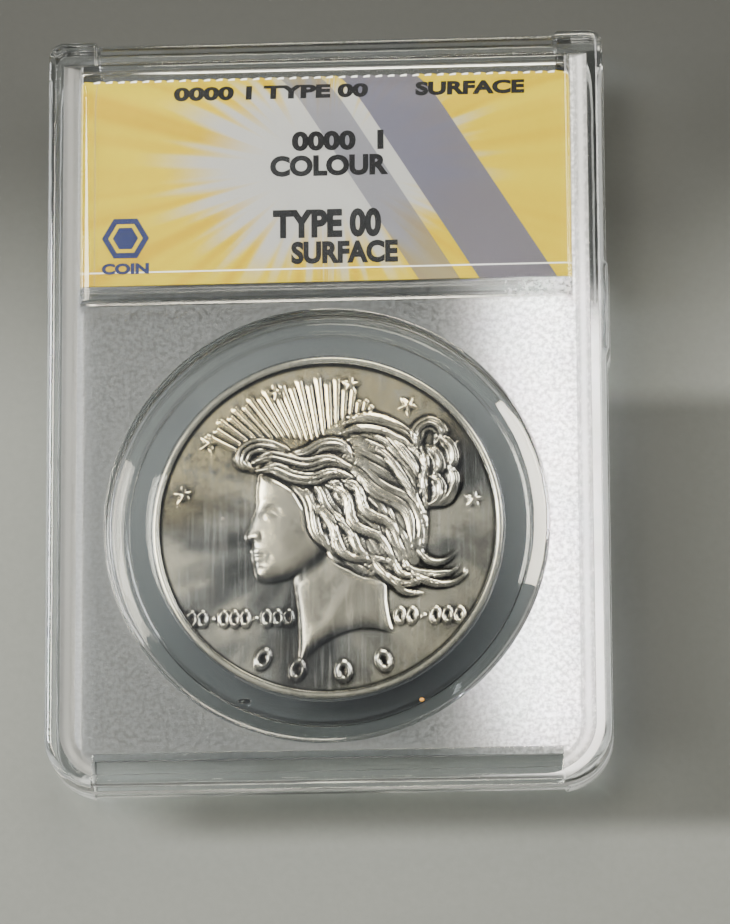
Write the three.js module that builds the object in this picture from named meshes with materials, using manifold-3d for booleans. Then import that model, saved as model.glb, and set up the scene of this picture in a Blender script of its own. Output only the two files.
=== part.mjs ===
// Graded coin slab: a sealed two-part clear holder with a coin in a split ring and two printed cards.
// Millimetres, +Z up. The slab lies on its back: X across it, Y towards the label end,
// origin at the middle of the footprint.
import * as THREE from 'three';
import { mergeVertices } from 'three/addons/utils/BufferGeometryUtils.js';
import Module from 'manifold-3d';

const wasm = await Module();
wasm.setup();

// Driving dimensions
const slabWidth = 61;
const slabLength = 84;
const slabThickness = 8;
const seamZ = slabThickness / 2;
const coinDiameter = 38.1;
const coinThickness = 2.4;
const coinCentreY = -13.2;

// Outer form
const labelEndCornerRadius = 1.6;
const coinEndCornerRadius = 5.8;
const edgeRounding = 0.9;
const sideWall = 2.6;

// Front and back faces, measured inwards from the rim plane
const rimWidth = 1.7;
const fieldSlope = 1.6;
const fieldDepth = 1.0;
const fieldTopMargin = 2.9;
const fieldBottomMargin = 3.8;
const windowRadius = 24;
const windowBevel = 1.6;
const windowDepth = 1.4;
const wallThickness = 1.1;
const hollowInset = 1;
const hollowLabelGap = 0.9;
const labelBlockWidth = 53.8;
const labelBlockLow = 11.8;
const labelBlockHigh = 39.4;
const labelBlockTopDepth = 0.15;
const labelBlockEdge = 0.6;
const railLength = 50.6;
const railDepth = 0.45;
const railSetBack = 0.5;
const railSetBackDepth = 2.2;

// Inside
const weldGap = 0.2;
const weldWidth = 0.8;
const weldInset = 1.1;
const fit = 0.02;
const ringOuterRadius = 23.6;
const ringClearance = 0.2;
const ringRib = 1.0;
const ringHalfHeight = 1.5;
const ringBore = coinDiameter / 2 + 0.15;
const ringLipRadius = 18.3;
const ringLipThickness = 0.26;
const ringShoulderRadius = 21.6;
const ringShoulderDrop = 0.35;

// Cards
const cardThickness = 0.3;
const cardWidth = 53.4;
const cardLow = 14.1;
const cardBendStart = 33;
const cardBendRadius = 7;
const cardBendAngle = (50 * Math.PI) / 180;
const backCardHigh = 34.5;
const cardHigh = 38.7;
const cardDepth = 1.8;
const pocketClearance = 0.35;
const pocketRounding = 0.5;
const tearPitch = 1.36;
const tearDepth = 0.22;
const tearWidth = 0.44;

// The coin's own section
const coinRim = 0.9;
const coinDish = 0.28;
const coinBevel = 0.12;

// How far a cutting tool runs past the piece it cuts, and how finely round pieces are divided
const overrun = 1;
const roundSteps = 72;
const cornerSteps = 8;

const clearPlastic = new THREE.MeshStandardMaterial({
  color: 0xdfe5e6, roughness: 0.12, metalness: 0, transparent: true, opacity: 0.35,
});
const silver = new THREE.MeshStandardMaterial({ color: 0xb9b6ab, roughness: 0.3, metalness: 1 });
const printedCard = new THREE.MeshStandardMaterial({ color: 0xd8d2b4, roughness: 0.7, metalness: 0 });

// A closed geometry as a solid that can be joined and cut.
function solid(geometry) {
  const bare = geometry.index ? geometry.toNonIndexed() : geometry.clone();
  bare.deleteAttribute('normal');
  bare.deleteAttribute('uv');
  const merged = mergeVertices(bare, 1e-4);
  const index = merged.index.array;
  const kept = [];
  for (let i = 0; i < index.length; i += 3) {
    const [a, b, c] = [index[i], index[i + 1], index[i + 2]];
    if (a !== b && b !== c && a !== c) kept.push(a, b, c);
  }
  return new wasm.Manifold(new wasm.Mesh({
    numProp: 3,
    vertProperties: new Float32Array(merged.attributes.position.array),
    triVerts: new Uint32Array(kept),
  }));
}

function named(name, body, material) {
  const made = body.getMesh();
  const geometry = new THREE.BufferGeometry();
  geometry.setAttribute('position', new THREE.BufferAttribute(made.vertProperties, 3));
  geometry.setIndex(new THREE.BufferAttribute(made.triVerts, 1));
  geometry.computeVertexNormals();
  const mesh = new THREE.Mesh(geometry, material);
  mesh.name = name;
  return mesh;
}

// The outline of the slab, moved inwards by inset: tight corners at the label end,
// round ones at the coin end.
function slabOutline(inset) {
  const x = slabWidth / 2 - inset;
  const y = slabLength / 2 - inset;
  const tight = Math.max(labelEndCornerRadius - inset, 0.4);
  const round = coinEndCornerRadius - inset;
  const shape = new THREE.Shape();
  shape.moveTo(-x + round, -y);
  shape.lineTo(x - round, -y);
  shape.absarc(x - round, -y + round, round, -Math.PI / 2, 0, false);
  shape.lineTo(x, y - tight);
  shape.absarc(x - tight, y - tight, tight, 0, Math.PI / 2, false);
  shape.lineTo(-x + tight, y);
  shape.absarc(-x + tight, y - tight, tight, Math.PI / 2, Math.PI, false);
  shape.lineTo(-x, -y + round);
  shape.absarc(-x + round, -y + round, round, Math.PI, 1.5 * Math.PI, false);
  return shape;
}

function extruded(shape, low, high) {
  const geometry = new THREE.ExtrudeGeometry(shape, {
    depth: high - low, bevelEnabled: false, curveSegments: cornerSteps,
  });
  return solid(geometry.translate(0, 0, low));
}

function block(lowX, highX, lowY, highY, lowZ, highZ) {
  const geometry = new THREE.BoxGeometry(highX - lowX, highY - lowY, highZ - lowZ);
  return solid(geometry.translate((lowX + highX) / 2, (lowY + highY) / 2, (lowZ + highZ) / 2));
}

// A body of revolution about the coin's axis, from [radius, z] points in counter-clockwise order.
function turned(profile) {
  const points = profile.map(([radius, z]) => new THREE.Vector2(radius, z));
  points.push(points[0].clone());
  const geometry = new THREE.LatheGeometry(points, roundSteps);
  geometry.rotateX(Math.PI / 2).translate(0, coinCentreY, 0);
  const body = solid(geometry);
  return body.volume() < 0 ? solid(flipped(geometry)) : body;
}

// A plain disc on the coin's axis.
function disc(radius, low, high) {
  return turned([[0, low], [radius, low], [radius, high], [0, high]]);
}

// The same triangles facing the other way.
function flipped(geometry) {
  const copy = geometry.toNonIndexed();
  const position = copy.attributes.position.array;
  for (let i = 0; i < position.length; i += 9) {
    for (let k = 0; k < 3; k += 1) {
      const held = position[i + 3 + k];
      position[i + 3 + k] = position[i + 6 + k];
      position[i + 6 + k] = held;
    }
  }
  return copy;
}

// A pocket with sloping sides: a rectangle of half-size (x, y) at the floor, wider by slope at the top.
function slopedPocket(x, lowY, highY, floorZ, topZ, slope) {
  const run = (slope * (topZ + overrun - floorZ)) / (topZ - floorZ);
  const shape = new THREE.Shape([
    new THREE.Vector2(-x, floorZ), new THREE.Vector2(x, floorZ),
    new THREE.Vector2(x + run, topZ + overrun), new THREE.Vector2(-x - run, topZ + overrun),
  ]);
  const geometry = new THREE.ExtrudeGeometry(shape, { depth: highY - lowY, bevelEnabled: false });
  geometry.rotateX(Math.PI / 2).translate(0, highY, 0);
  return solid(geometry);
}

// The half of the slab above the seam. The half below it is the same part turned over.
function shellHalf() {
  const geometry = new THREE.ExtrudeGeometry(slabOutline(0), {
    depth: slabThickness - 2 * edgeRounding, bevelEnabled: true, bevelThickness: edgeRounding,
    bevelSize: edgeRounding, bevelOffset: -edgeRounding, bevelSegments: 3, curveSegments: cornerSteps,
  });
  const top = slabThickness;
  const low = seamZ + weldGap / 2;
  let shell = solid(geometry.translate(0, 0, edgeRounding));
  shell = shell.intersect(block(-slabWidth, slabWidth, -slabLength, slabLength, low, top + overrun));

  // The sunk field inside the rim, with the label block standing in it
  const floorX = slabWidth / 2 - rimWidth - fieldSlope;
  const fieldLow = -slabLength / 2 + fieldBottomMargin;
  const fieldHigh = slabLength / 2 - fieldTopMargin;
  const fieldZ = top - fieldDepth;
  shell = shell.subtract(slopedPocket(floorX, fieldLow, fieldHigh, fieldZ, top, fieldSlope));
  shell = shell.add(labelBlock(fieldZ - labelBlockEdge / 2, top - labelBlockTopDepth));

  // Rails at both ends: the rim is lower and set back between its corner posts
  const railX = railLength / 2;
  const railEnd = slabLength / 2;
  const railZ = top - railDepth;
  const setBackZ = top - railSetBackDepth;
  shell = shell.subtract(block(-railX, railX, fieldHigh, railEnd + overrun, railZ, top + overrun));
  shell = shell.subtract(block(-railX, railX, -railEnd - overrun, fieldLow, railZ, top + overrun));
  const setBack = railEnd - railSetBack;
  shell = shell.subtract(block(-railX, railX, setBack, railEnd + overrun, setBackZ, top + overrun));
  shell = shell.subtract(block(-railX, railX, -railEnd - overrun, -setBack, setBackZ, top + overrun));

  // The coin window: a shallow dish with a bevelled rim
  shell = shell.subtract(turned([
    [0, top - windowDepth], [windowRadius - windowBevel, top - windowDepth],
    [windowRadius, fieldZ], [windowRadius, top + overrun], [0, top + overrun],
  ]));

  // Hollow under the field, with a round rib that seats the coin ring
  const hollowX = slabWidth / 2 - sideWall - hollowInset;
  const hollowTop = fieldZ - wallThickness;
  const hollowLow = fieldLow + hollowInset;
  const hollowHigh = labelBlockLow - hollowLabelGap;
  const hollow = block(-hollowX, hollowX, hollowLow, hollowHigh, low - overrun, hollowTop);
  const seat = ringOuterRadius + ringClearance;
  const seatTop = seamZ + ringHalfHeight + fit;
  shell = shell.subtract(hollow.subtract(disc(seat + ringRib, 0, top + overrun)));
  shell = shell.subtract(disc(seat, low - overrun, seatTop));

  return shell.subtract(labelPocket());
}

// The raised window over the card, with small sloping edges.
function labelBlock(low, high) {
  const x = labelBlockWidth / 2;
  const shape = new THREE.Shape();
  const inset = labelBlockEdge;
  shape.moveTo(-x + inset, labelBlockLow + inset);
  shape.lineTo(x - inset, labelBlockLow + inset);
  shape.lineTo(x - inset, labelBlockHigh);
  shape.lineTo(-x + inset, labelBlockHigh);
  shape.closePath();
  const geometry = new THREE.ExtrudeGeometry(shape, {
    depth: high - low - inset, bevelEnabled: true, bevelThickness: inset, bevelSize: inset,
    bevelSegments: 3, curveSegments: 4,
  });
  const body = solid(geometry.translate(0, 0, low));
  return body.intersect(block(-x - overrun, x + overrun, labelBlockLow - overrun, labelBlockHigh,
    low, high + overrun));
}

// Room for a card: flat under the window, with a rounded edge at the label end.
function labelPocket() {
  const x = cardWidth / 2 + pocketClearance;
  const top = slabThickness - cardDepth + fit;
  const high = cardHigh + pocketClearance;
  const low = seamZ - overrun;
  const shape = new THREE.Shape();
  shape.moveTo(cardLow - pocketClearance, low);
  shape.lineTo(high, low);
  shape.lineTo(high, top - pocketRounding);
  shape.absarc(high - pocketRounding, top - pocketRounding, pocketRounding, 0, Math.PI / 2, false);
  shape.lineTo(cardLow - pocketClearance, top);
  shape.closePath();
  const geometry = new THREE.ExtrudeGeometry(shape, {
    depth: 2 * x, bevelEnabled: false, curveSegments: cornerSteps,
  });
  geometry.rotateX(Math.PI / 2).rotateZ(Math.PI / 2).translate(-x, 0, 0);
  return solid(geometry);
}

function backShell() {
  return shellHalf().mirror([0, 0, 1]).translate([0, 0, slabThickness]);
}

// The line of remelted plastic that joins the two halves.
function weldBead() {
  const outline = slabOutline(weldInset);
  outline.holes.push(slabOutline(weldInset + weldWidth));
  return extruded(outline, seamZ - weldGap / 2 + fit, seamZ + weldGap / 2 - fit);
}

// Half of the coin ring: a clear collar with a shoulder, and a thin lip over the coin's rim.
function ringFront() {
  const low = seamZ + fit;
  const high = seamZ + ringHalfHeight - fit;
  return turned([
    [ringBore, low], [ringOuterRadius, low], [ringOuterRadius, high - ringShoulderDrop],
    [ringShoulderRadius + ringShoulderDrop, high - ringShoulderDrop], [ringShoulderRadius, high],
    [ringLipRadius, high], [ringLipRadius, high - ringLipThickness], [ringBore, high - ringLipThickness],
  ]);
}

function ringBack() {
  return ringFront().mirror([0, 0, 1]).translate([0, 0, slabThickness]);
}

// The coin: a raised rim round two slightly dished fields.
function coin() {
  const radius = coinDiameter / 2;
  const low = seamZ - coinThickness / 2;
  const high = seamZ + coinThickness / 2;
  const rimInner = radius - coinRim;
  const field = rimInner - coinDish;
  return turned([
    [0, low + coinDish], [field, low + coinDish], [rimInner, low], [radius - coinBevel, low],
    [radius, low + coinBevel], [radius, high - coinBevel], [radius - coinBevel, high],
    [rimInner, high], [field, high - coinDish], [0, high - coinDish],
  ]);
}

// The front card: flat under its window, then curved down towards the label end, to a perforated edge.
function frontLabel() {
  const top = slabThickness - cardDepth - fit;
  const outer = cardBendRadius;
  const inner = cardBendRadius - cardThickness;
  const centreY = cardBendStart;
  const centreZ = top - outer;
  const shape = new THREE.Shape();
  shape.moveTo(cardLow, top - cardThickness);
  shape.lineTo(centreY, top - cardThickness);
  const end = Math.PI / 2 - cardBendAngle;
  shape.absarc(centreY, centreZ, inner, Math.PI / 2, end, true);
  shape.lineTo(centreY + outer * Math.cos(end), centreZ + outer * Math.sin(end));
  shape.absarc(centreY, centreZ, outer, end, Math.PI / 2, false);
  shape.lineTo(cardLow, top);
  shape.closePath();
  const geometry = new THREE.ExtrudeGeometry(shape, {
    depth: cardWidth, bevelEnabled: false, curveSegments: 2 * cornerSteps,
  });
  geometry.rotateX(Math.PI / 2).rotateZ(Math.PI / 2).translate(-cardWidth / 2, 0, 0);
  let card = solid(geometry);
  const tears = Math.floor(cardWidth / tearPitch) - 1;
  const tearTop = centreZ + outer * Math.sin(end) + tearDepth;
  for (let i = 0; i < tears; i += 1) {
    const x = (i - (tears - 1) / 2) * tearPitch;
    card = card.subtract(block(x - tearWidth / 2, x + tearWidth / 2, centreY, cardHigh + overrun,
      centreZ - overrun, tearTop));
  }
  return card;
}

function backLabel() {
  const low = cardDepth + fit;
  return block(-cardWidth / 2, cardWidth / 2, cardLow, backCardHigh, low, low + cardThickness);
}

const slab = new THREE.Group();
slab.add(named('front_shell', shellHalf(), clearPlastic));
slab.add(named('back_shell', backShell(), clearPlastic));
slab.add(named('weld_bead', weldBead(), clearPlastic));
slab.add(named('coin_ring_front', ringFront(), clearPlastic));
slab.add(named('coin_ring_back', ringBack(), clearPlastic));
slab.add(named('coin', coin(), silver));
slab.add(named('front_label', frontLabel(), printedCard));
slab.add(named('back_label', backLabel(), printedCard));

export default slab;
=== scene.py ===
"""A graded coin slab: a clear holder welded round a struck silver coin, its split ring and two printed cards.

X runs across the slab, Y towards the label end and Z out of its front face. Shapes are worked out in
millimetres in the frame's own axes, and each is scaled to metres once, as its mesh is made.
"""
import math

import bmesh
import bpy
import numpy as np
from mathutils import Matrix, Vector


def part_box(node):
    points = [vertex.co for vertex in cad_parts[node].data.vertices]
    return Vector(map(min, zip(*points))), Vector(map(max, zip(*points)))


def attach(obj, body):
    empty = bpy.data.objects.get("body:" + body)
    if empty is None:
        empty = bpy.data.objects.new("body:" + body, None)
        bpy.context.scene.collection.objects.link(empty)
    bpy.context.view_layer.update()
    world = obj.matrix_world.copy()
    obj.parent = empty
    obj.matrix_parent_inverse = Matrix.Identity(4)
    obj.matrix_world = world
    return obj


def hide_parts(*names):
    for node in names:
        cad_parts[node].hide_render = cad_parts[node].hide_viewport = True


MM = 0.001
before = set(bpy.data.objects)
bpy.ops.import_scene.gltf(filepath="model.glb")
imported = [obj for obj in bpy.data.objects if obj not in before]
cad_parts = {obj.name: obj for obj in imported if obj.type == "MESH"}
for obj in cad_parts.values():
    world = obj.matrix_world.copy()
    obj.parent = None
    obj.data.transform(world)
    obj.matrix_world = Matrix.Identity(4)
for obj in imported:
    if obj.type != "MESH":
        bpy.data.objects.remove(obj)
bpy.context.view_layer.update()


def box_mm(node):
    """The lowest and highest corner of a node, in millimetres."""
    return [np.array(corner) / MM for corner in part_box(node)]


# Driving sizes, from the frame
_, shell_high = box_mm("front_shell")
coin_low, coin_high = box_mm("coin")
_, ring_high = box_mm("coin_ring_front")
card_low, card_high = box_mm("front_label")
back_low, back_high = box_mm("back_label")
HALF_X, HALF_Y, TOP = shell_high
SEAM = TOP / 2
COIN_Y = (coin_low[1] + coin_high[1]) / 2
COIN_R = coin_high[0]
COIN_HALF = coin_high[2] - SEAM
RING_R = ring_high[0]
RING_HALF = ring_high[2] - SEAM
CARD_X = card_high[0]
CARD_TOP = card_high[2]
CARD_LOW = card_low[1]

# The holder's own levels, as heights above the seam
WELD_GAP = 0.1
RIM_H = SEAM
FIELD_H = RIM_H - 1.0
WINDOW_H = RIM_H - 1.4
BLOCK_H = RIM_H - 0.15
RAIL_H = RIM_H - 0.45
LEDGE_H = RIM_H - 2.2
HOLLOW_H = FIELD_H - 1.1
SEAT_H = RING_HALF + 0.04
POCKET_H = CARD_TOP - SEAM + 0.04

# and its outlines, from the slab's middle
EDGE_ROUND = 0.9
COIN_CORNER = 5.8
LABEL_CORNER = 1.6
SLOPE_IN = HALF_X - 3.3
SLOPE_OUT = HALF_X - 1.7
FIELD_LOW = -HALF_Y + 3.8
FIELD_HIGH = HALF_Y - 2.9
BLOCK_X = 26.9
BLOCK_LOW = 11.8
BLOCK_HIGH = 39.4
BLOCK_ROUND = 0.6
RAIL_X = 25.3
RAIL_SET_BACK = 0.5
RAIL_ROUND = 0.3
LEDGE_ROUND = 0.12
WINDOW_R = 24.0
WINDOW_BEVEL = 1.6
WINDOW_LIP = 0.07
LIP_HALF = 0.13
TURN_R = 4.0
TURN_Y = -35.6
TAB_LOW = 5.3
TAB_HIGH = 15.4
TAB_OUT = 0.3
SEAT_R = RING_R + 0.2
RIB_R = SEAT_R + 0.4
POCKET_X = CARD_X + 0.35
POCKET_LOW = CARD_LOW - 0.35
POCKET_HIGH = 39.05
POCKET_ROUND = 0.5
SEAM_SCALE = 0.997
PATCH = 24.5
HOLLOW_LOW = COIN_Y - PATCH - 0.14
HOLLOW_HIGH = COIN_Y + PATCH + 0.2

# The weld, the coin's ring, the coin and the cards
WELD_INSET = 1.5
WELD_HALF = 0.45
WELD_THICK = 0.08
WELD_POWER = 0.09
RING_BORE = COIN_R + 0.15
RING_LIP = COIN_R - 0.75
LIP_THICK = 0.24
SHOULDER_R = 21.6
SHOULDER_RUN = 0.3
SHOULDER_DROP = 0.35
COIN_CELLS = 260
COIN_RIM = 0.5
FIELD_DROP = 0.26
COIN_BEVEL = 0.12
REEDS = 190
REED_DEPTH = 0.07
MARK_R = 16.1
ROW_Y = -10.0
RAY_END_R = 17.1
LEAF_R = 11.6
PELLET_R = 16.9
# How deep and how far round the coin's hollows are measured, for the patina and painted shade in them
HOLLOW_DEPTH = 0.045
HOLLOW_REACH = 22
BEND_R = 7.0
BEND_START = 33.0
BEND_ANGLE = math.radians(50)
CARD_THICK = 0.3
FLAT_RUN = BEND_START - CARD_LOW
FRONT_RUN = FLAT_RUN + BEND_R * BEND_ANGLE
TEAR_PITCH = 1.36
TEAR_DEPTH = 0.24
INK_LIFT = 0.03
INK_SINK = 0.004
CAPITAL_SHARE = 0.73
BAR_LOW = 11.0
BAR_HIGH = 17.0


# ---------------------------------------------------------------- shapes

def smoothstep(low, high, value):
    """0 below low, 1 above high, and 3t^2 - 2t^3 between."""
    t = np.clip((value - low) / (high - low), 0.0, 1.0)
    return t * t * (3.0 - 2.0 * t)


def edge(value, half=0.05):
    """A steep step from 0 to 1 that is centred on 0 and twice half wide."""
    return smoothstep(-half, half, value)


def quarter(distance, radius):
    """The height of a quarter circle, from 0 at its outline to radius beyond it."""
    t = 1.0 - np.clip(distance / radius, 0.0, 1.0)
    return radius * np.sqrt(np.clip(1.0 - t * t, 0.0, 1.0))


def quads(index):
    """The quads between the rows and columns of a table of point numbers."""
    corners = index[:-1, :-1], index[1:, :-1], index[1:, 1:], index[:-1, 1:]
    return np.stack(corners, -1).reshape(-1, 4)


def looped(index):
    """The same table with its first column repeated after its last."""
    return np.hstack([index, index[:, :1]])


def disc_of(a, b, start):
    """Moves points of the square |a|, |b| <= 1 so that its outline becomes a circle: at the outline
    a point is scaled by max(|a|, |b|) over its distance from the middle, and less towards start."""
    ring = np.maximum(np.abs(a), np.abs(b))
    far = np.hypot(a, b)
    scale = np.where(far > 0, ring / np.maximum(far, 1e-9), 1.0)
    pull = 1.0 + (scale - 1.0) * smoothstep(start, 1.0, ring)
    return a * pull, b * pull


def piece(name, points, faces, material, nodes=(), facet=None, attributes=None, uv=None):
    """One finished closed piece: points in millimetres, faces as tables of point numbers."""
    mesh = bpy.data.meshes.new(name)
    rows = [list(map(int, row)) for table in faces for row in table]
    mesh.from_pydata((np.asarray(points) * MM).tolist(), [], rows)
    for key, values in (attributes or {}).items():
        layer = mesh.attributes.new(key, "FLOAT", "POINT")
        layer.data.foreach_set("value", np.asarray(values, np.float32))
    if uv is not None:
        corner = np.empty(len(mesh.loops), np.int32)
        mesh.loops.foreach_get("vertex_index", corner)
        layer = mesh.uv_layers.new(name="UVMap")
        layer.data.foreach_set("uv", np.asarray(uv, np.float32)[corner].ravel())
    work = bmesh.new()
    work.from_mesh(mesh)
    bmesh.ops.recalc_face_normals(work, faces=work.faces)
    work.to_mesh(mesh)
    work.free()
    mesh.shade_smooth()
    if facet is not None:
        mesh.set_sharp_from_angle(angle=math.radians(facet))
    mesh.materials.append(material)
    made = bpy.data.objects.new(name, mesh)
    bpy.context.scene.collection.objects.link(made)
    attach(made, "root")
    if nodes:
        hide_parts(*nodes)
    return made


def rounded(corners, radius, steps=5):
    """A closed outline with each corner turned into a curve: the quadratic one from radius before
    the corner to radius after it, or nearer where a side is short."""
    p = np.asarray(corners, float)
    t = np.linspace(0, 1, steps)[:, None]
    out = []
    for before, at, after in zip(np.roll(p, 1, 0), p, np.roll(p, -1, 0)):
        back, on = before - at, after - at
        a = at + back * min(0.45, radius / np.hypot(*back))
        b = at + on * min(0.45, radius / np.hypot(*on))
        out.append((1 - t) ** 2 * a + 2 * t * (1 - t) * at + t ** 2 * b)
    return np.vstack(out)


def turned(profile, steps):
    """Points and faces of a body of revolution about the coin's axis, from a closed outline of
    radius and height."""
    angle = np.linspace(0, 2 * math.pi, steps, endpoint=False)[:, None]
    r, h = profile[None, :, 0], profile[None, :, 1]
    points = np.stack([r * np.cos(angle), COIN_Y + r * np.sin(angle), h + 0 * angle], -1)
    index = np.arange(points[..., 0].size).reshape(points.shape[:2])
    index = looped(np.vstack([index, index[:1]]))
    return points.reshape(-1, 3), [quads(index)]


# ---------------------------------------------------------------- shader maths

class Value:
    """A number that varies over a surface. Arithmetic on it adds Math nodes."""

    def __init__(self, tree, socket):
        self.tree = tree
        self.socket = socket

    def maths(self, operation, *values):
        inputs = dict(enumerate((self,) + values))
        return self.tree.node("ShaderNodeMath", {"operation": operation}, inputs)

    def __add__(self, other):
        return self.maths("ADD", other)

    def __sub__(self, other):
        return self.maths("SUBTRACT", other)

    def __rsub__(self, other):
        return (self * -1.0) + other

    def __mul__(self, other):
        return self.maths("MULTIPLY", other)

    def __truediv__(self, other):
        return self.maths("DIVIDE", other)

    def __abs__(self):
        return self.maths("ABSOLUTE")

    __radd__ = __add__
    __rmul__ = __mul__

    def step(self, low, high):
        """0 below low, 1 above high and smooth between; falling where low is above high."""
        ends = {"From Min": min(low, high), "From Max": max(low, high)}
        ends.update({"To Min": float(low > high), "To Max": float(low < high)})
        return self.tree.node("ShaderNodeMapRange", {"interpolation_type": "SMOOTHSTEP"},
                              {"Value": self, **ends})


class Finish:
    """One material, built node by node."""

    def __init__(self, name):
        self.material = bpy.data.materials.new(name)
        self.material.use_nodes = True
        self.graph = self.material.node_tree
        self.graph.nodes.clear()

    def node(self, kind, settings=None, inputs=None, output=0):
        """Adds a node: its settings, then a value or link for each input, by name or number."""
        made = self.graph.nodes.new(kind)
        for key, value in (settings or {}).items():
            setattr(made, key, value)
        for key, value in (inputs or {}).items():
            if isinstance(value, Value):
                self.graph.links.new(value.socket, made.inputs[key])
            else:
                made.inputs[key].default_value = value
        return Value(self, made.outputs[output])

    def where(self):
        """The point's place, as a vector in metres."""
        return self.node("ShaderNodeTexCoord", output="Object")

    def place(self):
        """The point's X, Y and Z in millimetres, and the same as a vector in metres."""
        at = self.where()
        parts = self.node("ShaderNodeSeparateXYZ", inputs={0: at}).socket.node
        return [Value(self, out) * (1 / MM) for out in parts.outputs] + [at]

    def noise(self, at, size, detail=2.0, rough=0.5, stretch=(1, 1, 1)):
        """Noise from 0 to 1 whose features are about size millimetres across."""
        spread = self.node("ShaderNodeMapping", inputs={0: at, "Scale": stretch})
        return self.node("ShaderNodeTexNoise", inputs={
            "Vector": spread, "Scale": 1 / (size * MM), "Detail": detail, "Roughness": rough})

    def blend(self, share, a, b):
        """Colour a where share is 0 and b where it is 1."""
        return self.node("ShaderNodeMix", {"data_type": "RGBA"}, {0: share, 6: a, 7: b}, 2)

    def bumps(self, height, depth, normal=None):
        """A normal from a height from 0 to 1 that stands depth millimetres."""
        inputs = {"Height": height, "Distance": depth * MM, "Strength": 1.0}
        if normal is not None:
            inputs["Normal"] = normal
        return self.node("ShaderNodeBump", inputs=inputs)

    def shader(self, kind, inputs):
        return self.node(kind, inputs=inputs)

    def done(self, surface):
        out = self.graph.nodes.new("ShaderNodeOutputMaterial")
        self.graph.links.new(surface.socket, out.inputs["Surface"])
        return self.material


def grey(level, warm=0.0):
    """A neutral colour, a little warmer or cooler."""
    return (level * (1 + warm), level, level * (1 - warm), 1.0)


def far(a, b):
    """The distance from a middle, from the two offsets from it."""
    return (a * a + b * b).maths("SQRT")


# Colours of the finishes
CLEAR_TINT = (0.945, 0.958, 0.968, 1)
CLEAR_SHADOW = (0.79, 0.80, 0.80, 1)
GRAIN_SHADE = 0.37        # share of a lamp's light that graining stops
# Haze on the grained plastic, with painted light in it: dim on the left and painted lighter towards the right
# as a painted sheen; the banks a set grey, a little lighter on the right as painted light; a painted
# highlight along the banks' crests
DIM_HAZE = (0.050, 0.057, 0.064, 1), (0.165, 0.182, 0.20, 1)
SHEEN_PAINTED_HAZE = grey(0.36), grey(0.92)
BANK_HAZE = grey(0.24), grey(0.30)
CREST_HIGHLIGHT_HAZE = grey(0.62), grey(0.8)
FIELD_SILVER = (0.34, 0.35, 0.34, 1), (0.52, 0.52, 0.48, 1)
# Painted reflection on the coin: dark and bright sectors of its lustre
PAINTED_DARK_SHEEN = (0.13, 0.13, 0.125, 1)
PAINTED_BRIGHT_SHEEN = (1.0, 0.95, 0.78, 1)
HAIRLINE_SILVER = (0.80, 0.84, 0.84, 1)
# A warmer tint, towards the rays and the lower right of the coin
WARM_TINT = (1.0, 0.86, 0.50, 1)
# Painted highlight on the coin's high relief
RELIEF_HIGHLIGHT_SILVER = (1.0, 0.94, 0.76, 1)
# Patina in the coin's hollows, deepened as painted shade
HOLLOW_PATINA_SHADE = (0.02, 0.018, 0.015, 1)
SPOT_BROWN = (0.12, 0.095, 0.075, 1)
PATCH_GREY = (0.22, 0.20, 0.17, 1)
CARD_WHITE = grey(0.29), grey(0.34)
CARD_GOLD = (0.45, 0.35, 0.006, 1), (0.39, 0.26, 0.0, 1)
CARD_VIOLET = (0.08, 0.078, 0.115, 1)
# Painted shade line on the card
SHADE_LINE_BROWN = (0.25, 0.2, 0.12, 1)
BLACK_INK = (0.004, 0.004, 0.005, 1)
NAVY_INK = (0.012, 0.017, 0.062, 1)
AMBER_INK = (0.42, 0.20, 0.04, 1)
TABLE_GREY = (0.203, 0.215, 0.206, 1), (0.232, 0.246, 0.235, 1)


def grained_areas(x, y, z):
    """Masks for the holder's outer faces: where the mould grained them, the right-hand side, where the
    haze is painted lighter as a painted sheen, the sloped banks of the sunk field, the crests of the
    banks, where a painted highlight lies, and the rim on the right, painted white as a painted highlight."""
    across = abs(x)
    outside = abs(z - SEAM).step(FIELD_H - 0.25, FIELD_H - 0.15)
    aside = (across - (SLOPE_IN - TURN_R)).maths("MAXIMUM", 0.0)
    below = (TURN_Y - y).maths("MAXIMUM", 0.0)
    beyond = far(aside, below) - (TURN_R + SLOPE_OUT - SLOPE_IN)
    low = y.step(FIELD_LOW - 0.05, FIELD_LOW + 0.05)
    low = low.maths("MAXIMUM", across.step(RAIL_X - 0.05, RAIL_X + 0.05))
    field = beyond.step(0.02, -0.06) * low * y.step(FIELD_HIGH + 0.05, FIELD_HIGH - 0.05)
    block = across.step(BLOCK_X + 0.06, BLOCK_X) * y.step(BLOCK_LOW - 0.06, BLOCK_LOW)
    round_window = far(x, y - COIN_Y).step(WINDOW_R + 0.12, WINDOW_R + 0.24)
    band = outside * block * y.step(POCKET_LOW + 0.1, POCKET_LOW - 0.2)
    grained = outside * field * (1 - block) * round_window + band * 0.4
    # the right-hand side, where the haze is painted lighter as a painted sheen
    right = x.step(8.0, 27.0)
    foot = SLOPE_IN - SLOPE_OUT
    bank = beyond.step(foot - 0.05, foot + 0.05) * grained
    # the crests of the banks, where a painted highlight lies
    crest_highlight = abs(beyond + 0.75).step(0.5, 0.1) * bank
    # the rim on the right, which the haze paints white as a painted highlight
    rim = outside * beyond.step(0.0, 0.1) * beyond.step(1.1, 0.9) * right * y.step(14.0, 6.0)
    return grained, right, bank, crest_highlight, rim


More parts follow.
